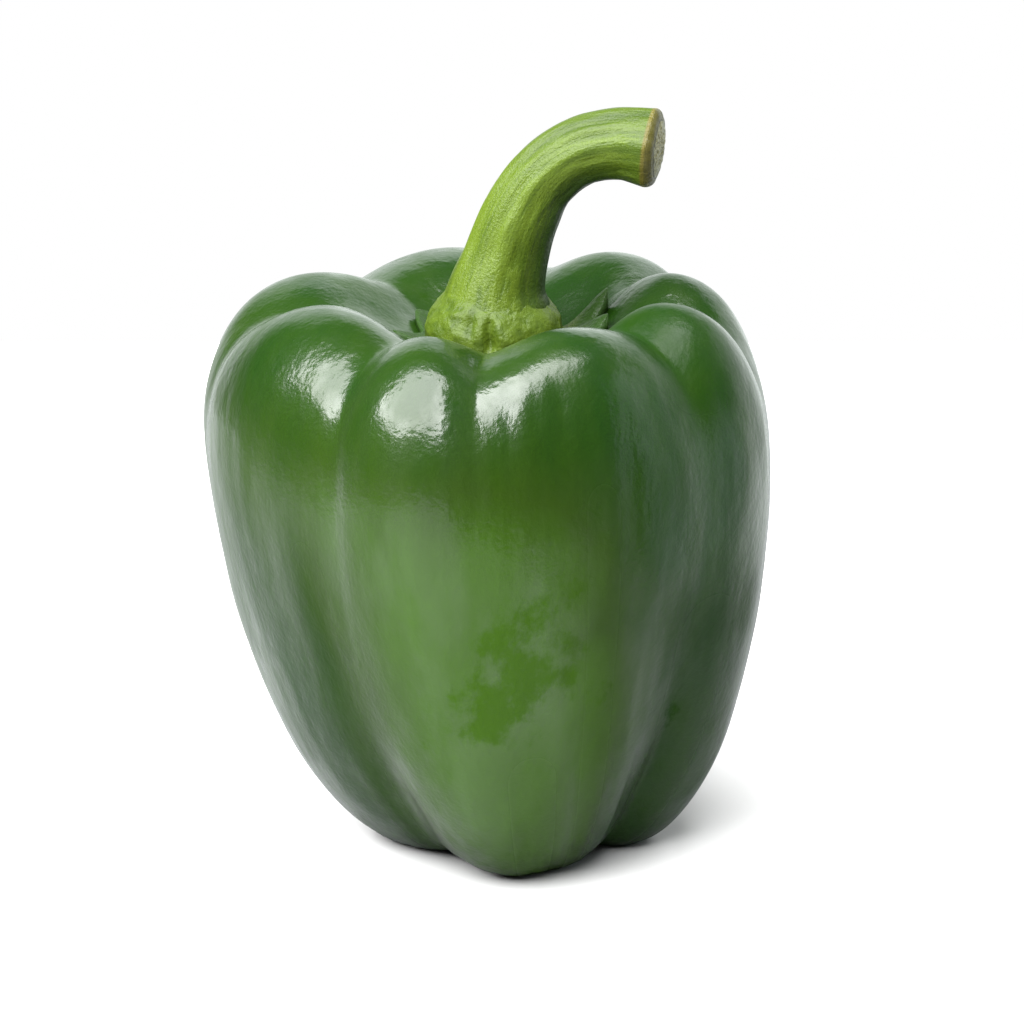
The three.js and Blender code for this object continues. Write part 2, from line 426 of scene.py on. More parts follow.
@dataclass(frozen=True)
class SkinFinish:
    """Waxy dark green skin: a clear coat over a deep colour, with a fine orange-peel grain."""

    deep: Colour = (0.0052, 0.0232, 0.0011, 1.0)
    fresh: Colour = (0.0145, 0.0362, 0.0011, 1.0)
    pale: Colour = (0.0265, 0.068, 0.0028, 1.0)
    # Roughness of the skin and of the wax over it, and what dull wax adds to both.
    haze: float = 0.34
    gloss: float = 0.16
    dull_gloss: float = 0.25
    # What full wax gives: the skin's specular level and the coat's weight.
    shine: float = 0.16
    coat: float = 0.87
    clouds: Grain = Grain(90.0, 4.0, 0.6, 0.35)
    cloud_strength: float = 0.7
    # Smears: their strength beside the rubbed patches, the levels where the wax thins, and how much goes.
    smears: Grain = Grain(120.0, 6.0, 0.7, 0.8)
    smear_strength: float = 2.8
    smear_levels: tuple[float, float] = (1.65, 2.25)
    smeared_off: float = 0.82
    # The uneven film: its levels, the wax where it is thinnest, and what the thickest film adds.
    film: Grain = Grain(85.0, 4.0, 0.62, 0.3)
    film_levels: tuple[float, float] = (0.35, 0.65)
    thin_film: float = 0.7
    thick_film: float = 0.6
    grain: Grain = Grain(1400.0, 2.0, 0.55, depth=0.00005)
    streaks: Grain = Grain(330.0, 3.0, 0.55, 0.13, 0.00006)
    dapple: Grain = Grain(150.0, 3.0, 0.6, 0.6, 0.0003)

    def green(self, shader: Shader, place: bpy.types.NodeSocket) -> bpy.types.NodeSocket:
        """The colour: deep, fresh and pale in turn as the skin's lightness, with its painted shade, and its
        clouds add up from 0 to 1.

        Args:
            shader: the material's nodes.
            place: Object coordinates.

        Returns:
            The colour's socket.
        """
        clouds = shader.times(shader.less(shader.noise(place, self.clouds), 0.5), self.cloud_strength)
        # The attribute holds the skin's own paler front and painted shade on the right-hand side.
        paleness_and_shade = shader.plus(shader.attribute("paleness_and_shade"), clouds, True)
        colour = shader.mix(shader.times(paleness_and_shade, 2.0, True), self.deep, self.fresh)
        over = shader.less(shader.times(paleness_and_shade, 2.0), 1.0, True)
        return shader.mix(over, colour, self.pale)

    def wax(self, shader: Shader, place: bpy.types.NodeSocket) -> bpy.types.NodeSocket:
        """How much wax there is: little in the smears, uneven as a film, and less where it is dull.

        Args:
            shader: the material's nodes.
            place: Object coordinates.

        Returns:
            The socket with the amount, about 0 to 1.3.
        """
        smears = shader.times(shader.noise(place, self.smears), self.smear_strength)
        smeared = shader.ramp(shader.plus(shader.attribute("rubbed"), smears), *self.smear_levels)
        left = shader.less(1.0, shader.times(smeared, self.smeared_off))
        film = shader.ramp(shader.noise(place, self.film), *self.film_levels)
        left = shader.times(left, shader.plus(shader.times(film, self.thick_film), self.thin_film))
        return shader.times(left, shader.less(1.0, shader.attribute("dullness")))

    def relief(self, shader: Shader, place: bpy.types.NodeSocket) -> bpy.types.NodeSocket:
        """The normal of shallow dapples, lengthwise streaks and a fine grain, one over the other.

        Args:
            shader: the material's nodes.
            place: Object coordinates.

        Returns:
            The normal's socket.
        """
        normal = shader.bump(shader.noise(place, self.dapple), self.dapple.depth)
        normal = shader.bump(shader.noise(place, self.streaks), self.streaks.depth, normal)
        return shader.bump(shader.noise(place, self.grain), self.grain.depth, normal)

    def material(self) -> bpy.types.Material:
        """Builds the skin's material from Object coordinates and the skin's own attributes."""
        material, shader = new_material("pepper_skin")
        place = shader.node("TexCoord").outputs["Object"]
        wax = self.wax(shader, place)
        normal = self.relief(shader, place)
        made = shader.principled(Base_Color=self.green(shader, place), Normal=normal)
        shader.feed(made.inputs["Specular IOR Level"], shader.times(wax, self.shine))
        shader.feed(made.inputs["Coat Weight"], shader.times(wax, self.coat))
        dull = shader.times(shader.attribute("dullness"), self.dull_gloss)
        shader.feed(made.inputs["Roughness"], shader.plus(dull, self.haze))
        shader.feed(made.inputs["Coat Roughness"], shader.plus(dull, self.gloss))
        shader.feed(made.inputs["Coat Normal"], normal)
        return material


@dataclass(frozen=True)
class CalyxFinish:
    """Fleshy, satin, lumpy green, darker towards the sepals' tips, with painted shade in the hollows of its
    knobs.
    """

    pale: Colour = (0.052, 0.083, 0.006, 1.0)
    # The colour of the painted shade in the hollows of the knobs.
    crease: Colour = (0.036, 0.062, 0.004, 1.0)
    dark: Colour = (0.014, 0.036, 0.005, 1.0)
    roughness: float = 0.38
    shine: float = 0.2
    pebbles: Grain = Grain(1500.0, 3.0, 0.6, depth=0.00022)
    knobs: Grain = Grain(420.0, depth=0.00045)
    knob_levels: tuple[float, float] = (0.3, 0.6)
    # How blotchy the dark of the rim is, and the levels over which it comes in.
    blotches: Grain = Grain(260.0)
    blotch_strength: float = 0.3
    rim_levels: tuple[float, float] = (0.1, 0.8)

    def material(self) -> bpy.types.Material:
        """Builds the calyx's material: pale on the collar with painted shade in the knobs' hollows, dark at
        the rim, with a pebbled grain.
        """
        material, shader = new_material("calyx_flesh")
        place = shader.node("TexCoord").outputs["Object"]
        pebbles = shader.noise(place, self.pebbles)
        blotches = shader.times(shader.noise(place, self.blotches), self.blotch_strength)
        rim = shader.plus(shader.attribute("rim"), blotches, True)
        knobs = shader.noise(place, self.knobs)
        # Painted shade: darker where the knob relief is low.
        colour = shader.mix(shader.ramp(knobs, *self.knob_levels), self.crease, self.pale)
        colour = shader.mix(shader.ramp(rim, *self.rim_levels), colour, self.dark)
        normal = shader.bump(knobs, self.knobs.depth, shader.bump(pebbles, self.pebbles.depth))
        made = shader.principled(Base_Color=colour, Normal=normal)
        made.inputs["Roughness"].default_value = self.roughness
        made.inputs["Specular IOR Level"].default_value = self.shine
        return material


@dataclass(frozen=True)
class StemFinish:
    """Bright yellow-green stem with fibres along it, painted shade on its underside and top, and a dry
    fibrous cut.
    """

    bright: Colour = (0.07, 0.108, 0.008, 1.0)
    dark: Colour = (0.038, 0.066, 0.004, 1.0)
    # The colour of the painted shade on the underside and the top.
    underside: Colour = (0.01, 0.026, 0.003, 1.0)
    cut_face: Colour = (0.2, 0.2, 0.12, 1.0)
    cut_ring: Colour = (0.085, 0.075, 0.012, 1.0)
    cut_edge: Colour = (0.03, 0.03, 0.01, 1.0)
    roughness: float = 0.36
    shine: float = 0.24
    fibres: Grain = Grain(2200.0, 3.0, 0.65, 0.1, 0.00011)
    bands: Grain = Grain(420.0, 3.0, 0.6, 0.07, 0.0003)
    pebbles: Grain = Grain(2300.0, 2.0, 0.6)
    # The shares of the bands and the fibres in the mottled colour, and the pebbles' rise beside the fibres'.
    band_share: float = 0.7
    fibre_share: float = 0.3
    pebble_rise: float = 1.2
    mottle_levels: tuple[float, float] = (0.36, 0.62)
    # The levels of the cut attribute over which the ring, the edge and the face of the cut come in.
    ring_levels: tuple[float, float] = (0.1, 0.4)
    edge_levels: tuple[float, float] = (0.46, 0.54)
    face_levels: tuple[float, float] = (0.6, 0.75)
    ray_levels: tuple[float, float] = (0.35, 0.65)

    def material(self) -> bpy.types.Material:
        """Builds the stem's material from its own attributes: around, along, under, which holds painted
        shade, and cut.
        """
        material, shader = new_material("stem_fibre")
        place = shader.node("TexCoord").outputs["Object"]
        join = shader.node("CombineXYZ")
        for axis, name in (("X", "around_x"), ("Y", "around_y"), ("Z", "along")):
            shader.feed(join.inputs[axis], shader.attribute(name))
        fibres = shader.noise(join.outputs["Vector"], self.fibres)
        bands = shader.noise(join.outputs["Vector"], self.bands)
        pebbles = shader.noise(place, self.pebbles)
        mottle = shader.plus(shader.times(bands, self.band_share), shader.times(fibres, self.fibre_share))
        colour = shader.mix(shader.ramp(mottle, *self.mottle_levels), self.dark, self.bright)
        # Painted shade: darker towards the underside colour where the under attribute says.
        colour = shader.mix(shader.attribute("under"), colour, self.underside)
        cut = shader.attribute("cut")
        colour = shader.mix(shader.ramp(cut, *self.ring_levels), colour, self.cut_ring)
        colour = shader.mix(shader.ramp(cut, *self.edge_levels), colour, self.cut_edge)
        rays = shader.mix(shader.ramp(pebbles, *self.ray_levels), self.cut_ring, self.cut_face)
        colour = shader.mix(shader.ramp(cut, *self.face_levels), colour, rays)
        height = shader.plus(fibres, shader.times(pebbles, self.pebble_rise))
        normal = shader.bump(bands, self.bands.depth, shader.bump(height, self.fibres.depth))
        made = shader.principled(Base_Color=colour, Normal=normal)
        made.inputs["Roughness"].default_value = self.roughness
        made.inputs["Specular IOR Level"].default_value = self.shine
        return material


# ---------------------------------------------------------------- the fruit


class Where(Enum):
    """How a patch of the skin lies along its height."""

    ABOVE = "above"
    BELOW = "below"
    AROUND = "around"


@dataclass(frozen=True)
class Patch:
    """A soft patch of the skin, strongest along one azimuth and fading over its width.

    Its two heights are, above or below, where it starts to change and where the change is done, and, around,
    its middle and its width.
    """

    azimuth: float
    width: float
    where: Where
    heights: tuple[float, float]
    strength: float = 1.0

    def weight(self, azimuth: Array, height: Array) -> Array:
        """The patch at each place: a bell around the fruit times a step or a bell along its height.

        Args:
            azimuth: azimuths in degrees.
            height: heights in millimetres, broadcast with the azimuths.

        Returns:
            0 away from the patch and its strength in the middle of it.
        """
        across = self.strength * bump(away(azimuth, self.azimuth), 0.0, self.width)
        if self.where is Where.AROUND:
            return across * bump(height, *self.heights)
        step = smooth(height, *self.heights)
        return across * (step if self.where is Where.ABOVE else 1.0 - step)


@dataclass(frozen=True)
class SkinMarks:
    """Where the skin is pale, where it is darkened by painted shade, where its wax is rubbed off and where
    the wax is dull.
    """

    # Paleness, from 0 to 1: of the deepest green, what a plain side adds and what the front adds.
    deepest: float = 0.04
    plain: float = 0.42
    front: float = 0.62
    # Painted shade on the side away from the light: its azimuth, and the angles from it over which the
    # painted shade comes in and goes.
    shaded: float = 70.0
    shade_in: tuple[float, float] = (-71.0, -37.0)
    shade_out: tuple[float, float] = (110.0, 150.0)
    # The shares of paleness lost on the shoulders and at the foot, and the heights of these.
    shoulder_loss: float = 0.75
    shoulder: tuple[float, float] = (62.0, 92.0)
    foot_loss: float = 0.6
    foot: tuple[float, float] = (0.0, 32.0)
    # The pale front and the right-hand side of it, low down.
    pale_front: tuple[Patch, ...] = (
        Patch(-4.0, 32.0, Where.BELOW, (48.0, 84.0)),
        Patch(18.0, 14.0, Where.BELOW, (36.0, 60.0), 1.1),
    )
    # The deep green of the left side, low down.
    deep_left: Patch = Patch(-60.0, 24.0, Where.BELOW, (40.0, 75.0), 0.9)
    # Rubbed in the middle of the front, and a little lower to the left.
    rubbed_front: tuple[Patch, ...] = (
        Patch(2.5, 12.0, Where.AROUND, (44.0, 13.0), 0.9),
        Patch(-10.0, 8.0, Where.AROUND, (33.0, 8.0), 0.45),
    )
    # Dull on the right shoulder and the front crest, in the left furrow and on the left flank, in the right
    # furrow, on the front lobe's toe and on its right-hand side.
    dull: tuple[Patch, ...] = (
        Patch(52.0, 12.0, Where.ABOVE, (72.0, 84.0), 0.8),
        Patch(14.0, 7.0, Where.ABOVE, (74.0, 84.0), 0.35),
        Patch(-47.0, 9.0, Where.BELOW, (48.0, 75.0), 0.7),
        Patch(-68.0, 14.0, Where.AROUND, (62.0, 16.0), 0.35),
        Patch(53.0, 16.0, Where.BELOW, (40.0, 62.0), 0.65),
        Patch(3.0, 14.0, Where.BELOW, (20.0, 40.0), 0.55),
        Patch(20.0, 9.0, Where.BELOW, (66.0, 84.0), 0.55),
    )

    def paleness_and_shade(self, azimuth: Array, height: Array) -> Array:
        """How far the green is from its deepest: the right-hand side is kept deep as painted shade, the
        shoulders are deep and the front pale.

        Args:
            azimuth: azimuths in degrees.
            height: heights in millimetres, broadcast with the azimuths.

        Returns:
            0 for the deepest green and 1 for the palest, before the clouds.
        """
        turned = away(azimuth, self.shaded)
        # Painted shade: the right-hand side, away from the light, is kept deep green.
        shade = smooth(turned, *self.shade_in) * (1.0 - smooth(turned, *self.shade_out))
        plain = self.plain * (1.0 - shade) * (1.0 - self.deep_left.weight(azimuth, height))
        front = np.maximum.reduce([patch.weight(azimuth, height) for patch in self.pale_front])
        foot = 1.0 - self.foot_loss * (1.0 - smooth(height, *self.foot))
        shoulder = 1.0 - self.shoulder_loss * smooth(height, *self.shoulder)
        return self.deepest + (plain + self.front * front * foot) * shoulder

    def rubbed(self, azimuth: Array, height: Array) -> Array:
        """How much the wax is rubbed off: the sum of the rubbed patches."""
        return sum(patch.weight(azimuth, height) for patch in self.rubbed_front)

    def dullness(self, azimuth: Array, height: Array) -> Array:
        """How dull the wax is, 0 to 1: the strongest of the dull patches."""
        return np.maximum.reduce([patch.weight(azimuth, height) for patch in self.dull])


@dataclass
class Fruit:
    """The fruit: a blocky body with four lobes, each halved by a shallow fold, and a hollow crown."""

    height: float = 93.5
    lean: float = 3.5
    columns: int = 480
    rows: int = 200
    # Control rings: crest radius and height, main furrow in and up, side fold in and up, roundness.
    rings: tuple[tuple[float, ...], ...] = (
        (0, 8.5, 0, 0, 0, 0, 0.3),
        (8, 6.5, 1, 2, 0, 0, 0.25),
        (13, -2, 2, 3, 0, 0, 0.15),
        (25, 0, 4.5, 2, 0, 0, 0.12),
        (35, 12.5, 6, 3, 0, 0, 0.12),
        (40, 25, 5, 0.5, 0, 0, 0.15),
        (44.5, 41.5, 5.5, -2, 0, 0, 0.2),
        (47.5, 55.5, 4, -3.5, 1, 0, 0.2),
        (49, 75, 3.5, -2.5, 1.5, -1, 0.15),
        (42, 91, 2.5, 0, 1.5, -3.5, 0.12),
        (28, 93.5, 1.5, 0.5, 1.5, -3.5, 0.12),
        (20, 87, 0, 0, 0, -0.5, 0.15),
        (11, 81.5, -0.5, -0.5, -0.5, -0.5, 0.25),
        (0, 81.5, 0, 0, 0, 0, 0.3),
    )
    # Half lobes in order around: where one starts, its width factor and the rise of its crest. The main
    # furrows start the even ones and the side folds the odd ones.
    half_lobes: tuple[tuple[float, float, float], ...] = (
        (-37, 1.09, 0),
        (-6, 0.9, 0.5),
        (48, 0.92, 1),
        (82, 0.88, 1.5),
        (120, 1, 0),
        (168, 1.11, -1.5),
        (223, 1.1, -1),
        (267, 0.99, 0.5),
    )
    # The right-hand furrow is worn to about half its depth over the upper half.
    shallow: Patch = Patch(48.0, 24.0, Where.ABOVE, (20.0, 55.0), 0.55)
    # The crests' rise comes in over these heights, and dies away over the last rings, in the hollow.
    rise_from: float = 55.0
    rise_span: float = 40.0
    rise_in_hollow: tuple[float, ...] = (0.6, 0.2, 0.0)
    # How many spans between rings the hollow takes, and how finely its floor is read.
    hollow_spans: int = 3
    hollow_rows: int = 160
    # Lengthwise ripples, stronger at the front: around an azimuth over a width, and up to the shoulders.
    ripples: tuple[Relief, ...] = (Relief((64, 10), 0.2, 11), Relief((120, 18), 0.09, 12))
    ripples_plain: float = 0.45
    ripples_front: float = 0.55
    ripples_middle: tuple[float, float] = (15.0, 28.0)
    ripples_top: tuple[float, float] = (80.0, 93.0)
    dents: Relief = Relief((28, 20), 0.16, 13)
    # Where the unevenness comes in and goes along the meridians, as shares of their parameter.
    uneven_in: tuple[float, float] = (0.02, 0.2)
    uneven_out: tuple[float, float] = (0.7, 0.9)
    centre: Array = field(default_factory=lambda: np.zeros(3))

    def furrow(self, azimuth: Array, starts: Array, softness: Array) -> Array:
        """How deep in a furrow an azimuth lies: 1 - softabs(cos(pi u / 2)), u across the lobe from -1 to 1.

        Args:
            azimuth: azimuths in degrees.
            starts: the furrows, rising, within one turn.
            softness: the roundness of each control ring.

        Returns:
            1 in a furrow and 0 on a crest, of shape (azimuths, rings).
        """
        bounds = np.append(starts, starts[0] + TURN)
        turned = (azimuth - starts[0]) % TURN + starts[0]
        lobe = np.clip(np.searchsorted(bounds, turned, side="right") - 1, 0, len(starts) - 1)
        across = 2.0 * (turned - bounds[lobe]) / (bounds[lobe + 1] - bounds[lobe]) - 1.0
        c = np.cos(np.pi * across / 2.0)[:, None]
        return 1.0 - (np.hypot(c, softness) - softness) / (np.hypot(1.0, softness) - softness)

    def across_lobes(self, azimuth: Array, values: Array) -> Array:
        """A half lobe's own value at its middle, blended to the next one's by the quintic step.

        Args:
            azimuth: azimuths in degrees.
            values: one value for each half lobe.

        Returns:
            One value for each azimuth.
        """
        starts = np.array([lobe[0] for lobe in self.half_lobes], float)
        middles = (starts + np.append(starts[1:], starts[0] + TURN)) / 2.0
        bounds = np.append(middles, middles[0] + TURN)
        values = np.append(values, values[0])
        turned = (azimuth - middles[0]) % TURN + middles[0]
        k = np.clip(np.searchsorted(bounds, turned, side="right") - 1, 0, len(middles) - 1)
        blend = smooth((turned - bounds[k]) / (bounds[k + 1] - bounds[k]), 0.0, 1.0)
        return values[k] + (values[k + 1] - values[k]) * blend

    def meridians(self, azimuth: Array, t: Array) -> tuple[Array, Array]:
        """The skin's radius and height: the uniform cubic B-spline of the control rings at each azimuth.

        Args:
            azimuth: azimuths in degrees.
            t: ring parameter, 0 at the base and the last ring's number in the hollow.

        Returns:
            Radius and height in millimetres, each of shape (t, azimuths).
        """
        rings = np.array(self.rings, float)
        lobes = np.array(self.half_lobes, float)
        radius, height, main_in, main_up, side_in, side_up, soft = rings.T
        width = self.across_lobes(azimuth, lobes[:, 1])[:, None]
        rise = self.across_lobes(azimuth, lobes[:, 2])[:, None]
        share = np.clip((height - self.rise_from) / self.rise_span, 0.0, 1.0)
        share[-len(self.rise_in_hollow) :] = self.rise_in_hollow
        main = self.furrow(azimuth, lobes[::2, 0], soft)
        main *= 1.0 - self.shallow.weight(azimuth[:, None], height)
        side = self.furrow(azimuth, lobes[:, 0], soft)
        controls = np.stack(
            [
                radius * width - main * main_in - side * side_in,
                height + main * main_up + side * side_up + rise * share,
            ],
            axis=-1,
        )
        mirror = np.array([-1.0, 1.0])
        padded = np.concatenate([controls[:, 1:2] * mirror, controls, controls[:, -2:-1] * mirror], axis=1)
        span = np.clip(np.floor(t).astype(int), 0, len(rings) - 2)
        f = t - span
        weights = ((1 - f) ** 3, 3 * f**3 - 6 * f**2 + 4, -3 * f**3 + 3 * f**2 + 3 * f + 1, f**3)
        curve = sum(w[None, :, None] / 6.0 * padded[:, span + k] for k, w in enumerate(weights))
        return np.maximum(curve[..., 0], 0.0).T, curve[..., 1].T

    def place(self, azimuth: Array, radius: Array, height: Array) -> Array:
        """Points in metres in the frame, from azimuth, radius about the leaning axis, and height.

        Args:
            azimuth: azimuths in degrees.
            radius: radii in millimetres, broadcast with the azimuths.
            height: heights in millimetres, broadcast with them too.

        Returns:
            Points, with x, y and z in the last axis.
        """
        angle = np.radians(azimuth)
        axis = self.lean * (1.0 - height / self.height)
        x = axis + radius * np.sin(angle)
        y = -radius * np.cos(angle) + np.zeros_like(x)
        return (np.stack([x, y, height + np.zeros_like(x)], axis=-1) - self.centre) * MM

    def settle(self) -> None:
        """Puts the fruit's middle over the origin, as the CAD body's box says."""
        low, high = (np.array(corner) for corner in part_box(Node.FRUIT.value))
        azimuth = np.arange(self.columns) * TURN / self.columns
        radius, height = self.meridians(azimuth, np.linspace(0.0, len(self.rings) - 1.0, self.rows))
        points = self.place(azimuth, radius, height)
        middle = (points.min((0, 1)) + points.max((0, 1))) / 2.0
        offset = middle - (low + high) / 2.0
        self.centre = np.array([offset[0], offset[1], 0.0]) / MM

    def unevenness(self, azimuth: Array, along: Array, height: Array) -> Array:
        """How far the skin stands out from its meridians: ripples, more at the front, plus shallow dents.

        Args:
            azimuth: one azimuth for each column.
            along: position along the meridians, 0 to 1, one for each row.
            height: heights in millimetres, of shape (rows, columns).

        Returns:
            Millimetres outwards, of shape (rows, columns).
        """
        around, along = azimuth[None, :] / TURN, along[:, None]
        middle, width = self.ripples_middle
        streaked = self.ripples_plain + self.ripples_front * bump(away(azimuth, middle), 0.0, width)
        ripples = sum(relief.rise(around, along) for relief in self.ripples)
        ripples = ripples * streaked[None, :] * (1.0 - smooth(height, *self.ripples_top))
        fade = smooth(along, *self.uneven_in) * (1.0 - smooth(along, *self.uneven_out))
        return (ripples + self.dents.rise(around, along)) * fade

    def skin(self) -> bpy.types.Object:
        """Builds the skin: the meridians, moved along their normals by the unevenness, above the floor."""
        azimuth = np.arange(self.columns) * TURN / self.columns
        t = np.linspace(0.0, len(self.rings) - 1.0, self.rows + 1)
        radius, height = self.meridians(azimuth, t)
        points = self.place(azimuth, radius, height)
        uneven = self.unevenness(azimuth, t / t[-1], height) * MM
        points = points + surface_normals(points) * uneven[..., None]
        points[..., 2] = np.maximum(points[..., 2], 0.0)
        piece = closed_mesh("pepper_skin", points[1:-1], points[0].mean(0), points[-1].mean(0))
        marks = SkinMarks()
        # The paleness attribute stored here includes painted shade on the right-hand side.
        for mark in (marks.paleness_and_shade, marks.dullness, marks.rubbed):
            store(piece, mark.__name__, with_poles(mark(azimuth[None, :], height)[1:-1]))
        piece.data.materials.append(SkinFinish().material())
        return piece

    def hollow_height(self, azimuth: Array, radius: Array) -> Array:
        """The height of the hollow's floor, read off each meridian at a radius.

        Args:
            azimuth: one azimuth for each column.
            radius: radii of shape (rows, columns).

        Returns:
            Heights of the same shape as radius.
        """
        centre = len(self.rings) - 1.0
        t = np.linspace(centre, centre - self.hollow_spans, self.hollow_rows)
        floor_radius, floor_height = self.meridians(azimuth, t)
        columns = [np.interp(r, fr, fh) for r, fr, fh in zip(radius.T, floor_radius.T, floor_height.T)]
        return np.stack(columns, axis=1)


# ---------------------------------------------------------------- the calyx


@dataclass(frozen=True)
class Sepal:
    """One sepal: where it points, how far it reaches, how wide it is and how much its tip is raised."""

    azimuth: float
    reach: float
    half_width: float
    lift: float

    def weight(self, azimuth: Array) -> Array:
        """1 along the sepal's middle, fading over its half width."""
        return bump(away(azimuth, self.azimuth), 0.0, self.half_width)


@dataclass(frozen=True)
class Swelling:
    """A swelling of the collar along one azimuth, or a crease where its height is below 0."""

    azimuth: float
    width: float
    height: float

    def rise(self, azimuth: Array) -> Array:
        """Millimetres outwards at each azimuth, as a bell."""
        return self.height * bump(away(azimuth, self.azimuth), 0.0, self.width)


@dataclass
class Calyx:
    """The cap in the hollow: a thin plate with sepals, and a lumpy collar around the foot of the stem."""

    fruit: Fruit
    cap_reach: float = 12.5
    sepals: tuple[Sepal, ...] = (
        Sepal(-92, 18, 17, 0.8),
        Sepal(-40, 15.5, 15, 0),
        Sepal(18, 15, 15, 0),
        Sepal(66, 15.5, 15, 0.5),
        Sepal(84, 15.5, 10, 2.4),
        Sepal(113, 18, 14, 3.2),
        Sepal(170, 15.5, 16, 0.5),
        Sepal(226, 19.5, 17, 1.2),
    )
    ragged: Relief = Relief((60, 1), 0.35, 21)
    # The cap: its thickness at the rim and what it gains inwards, and how far it is sunk in the skin.
    edge: float = 0.8
    edge_in: tuple[float, float] = (-0.2, 0.25)
    thickening: float = 1.0
    sunk: float = 0.15
    # The collar stands to the left of the hollow's middle, from this radius.
    shift: float = -1.8
    foot: float = 11.0
    # The collar's profile over its bulge to the stem: radius and height.
    collar: tuple[tuple[float, float], ...] = (
        (11.0, 84.6),
        (11.1, 86.2),
        (10.7, 88.0),
        (9.7, 89.8),
        (8.5, 91.2),
        (7.6, 92.4),
        (6.4, 92.8),
    )
    collar_join: float = 0.25
    # The collar's lumps, its front crease and the knobs beside it, with their places up the collar.
    pebbles: tuple[Relief, ...] = (Relief((26, 5), 0.35, 31), Relief((60, 9), 0.12, 32))
    crease: Swelling = Swelling(-4.0, 5.0, -1.3)
    crease_in: tuple[float, float] = (0.0, 0.15)
    crease_out: tuple[float, float] = (0.3, 0.7)
    knobs: tuple[Swelling, ...] = (Swelling(4.0, 9.0, 0.7), Swelling(-22.0, 4.0, -0.5))
    knobs_middle: tuple[float, float] = (0.35, 0.25)
    lumps_out: tuple[float, float] = (0.6, 0.95)
    columns: int = 288
    under_rows: int = 14
    upper_rows: int = 26
    collar_rows: int = 59
    innermost: float = 0.04

    def build(self) -> bpy.types.Object:
        """Builds the cap from its underside over the rim and the collar, as one closed surface."""
        azimuth = np.arange(self.columns) * TURN / self.columns
        weights = [sepal.weight(azimuth) for sepal in self.sepals]
        reach = self.cap_reach + sum((s.reach - self.cap_reach) * w for s, w in zip(self.sepals, weights))
        reach = reach + self.ragged.rise(azimuth / TURN, np.zeros_like(azimuth))
        lift = sum(s.lift * w for s, w in zip(self.sepals, weights))
        radius = reach * np.linspace(self.innermost, 1.0, self.under_rows)[:, None]
        under = self.fruit.place(azimuth, radius, self.fruit.hollow_height(azimuth, radius) - self.sunk)
        share = np.linspace(0.0, 1.0, self.upper_rows)[:, None]
        radius = reach + (self.foot - reach) * share
        thick = self.edge * smooth(share, *self.edge_in) + self.thickening * share + lift * (1.0 - share)
        height = self.fruit.hollow_height(azimuth, radius) + thick
        upper = self.fruit.place(azimuth, radius, height)
        upper[..., 0] += self.shift * share * MM
        collar = self.collar_wall(azimuth, height[-1])
        rings = np.concatenate([under, upper, collar])
        piece = closed_mesh("calyx_cap", rings, under[0].mean(0), collar[-1].mean(0))
        outwards = np.broadcast_to(1.0 - share, upper.shape[:2])
        rim = np.concatenate([np.ones(under.shape[:2]), outwards, np.zeros(collar.shape[:2])])
        store(piece, "rim", with_poles(rim))
        piece.data.materials.append(CalyxFinish().material())
        return piece

    def collar_wall(self, azimuth: Array, start: Array) -> Array:
        """The collar: its lumpy profile turned about the foot, blended at its start to the cap's height.

        Args:
            azimuth: azimuths of the columns.
            start: the cap's height in millimetres where the collar starts, one for each column.

        Returns:
            Points in metres, of shape (collar rows, columns, 3).
        """
        profile = np.array(self.collar)
        at = np.linspace(0.0, len(profile) - 1.0, self.collar_rows + 1)[1:]
        curve = cubic_spline(np.arange(len(profile)), profile, at)
        up = np.linspace(0.0, 1.0, self.collar_rows)
        blend = 1.0 - smooth(up, 0.0, self.collar_join)[:, None]
        height = curve[:, 1:2] + (start[None, :] - profile[0, 1]) * blend
        wall = self.fruit.place(azimuth, curve[:, 0:1] + self.lumps(azimuth, up), height)
        wall[..., 0] += self.shift * MM
        return wall

    def lumps(self, azimuth: Array, along: Array) -> Array:
        """How far the collar swells: rounded lumps with creases between them, fading towards the stem.

        Args:
            azimuth: azimuths of the columns.
            along: position up the collar, 0 to 1.

        Returns:
            Millimetres outwards, of shape (along, azimuth).
        """
        up = along[:, None]
        around = azimuth[None, :] / TURN
        pebbles = sum(relief.rise(around, up) for relief in self.pebbles)
        crease = self.crease.rise(azimuth) * smooth(up, *self.crease_in)
        crease = crease * (1.0 - smooth(up, *self.crease_out))
        knobs = sum(knob.rise(azimuth) for knob in self.knobs) * bump(up, *self.knobs_middle)
        return (pebbles + crease + knobs) * (1.0 - smooth(up, *self.lumps_out))


# ---------------------------------------------------------------- the stem


@dataclass(frozen=True)
class Ribs:
    """Lengthwise ribs of the stem: how many, their height in millimetres and their phase in radians."""

    count: int
    height: float
    phase: float

    def rise(self, angle: Array) -> Array:
        """Millimetres outwards at each angle, as a cosine wave."""
        return self.height * np.cos(self.count * angle + self.phase)


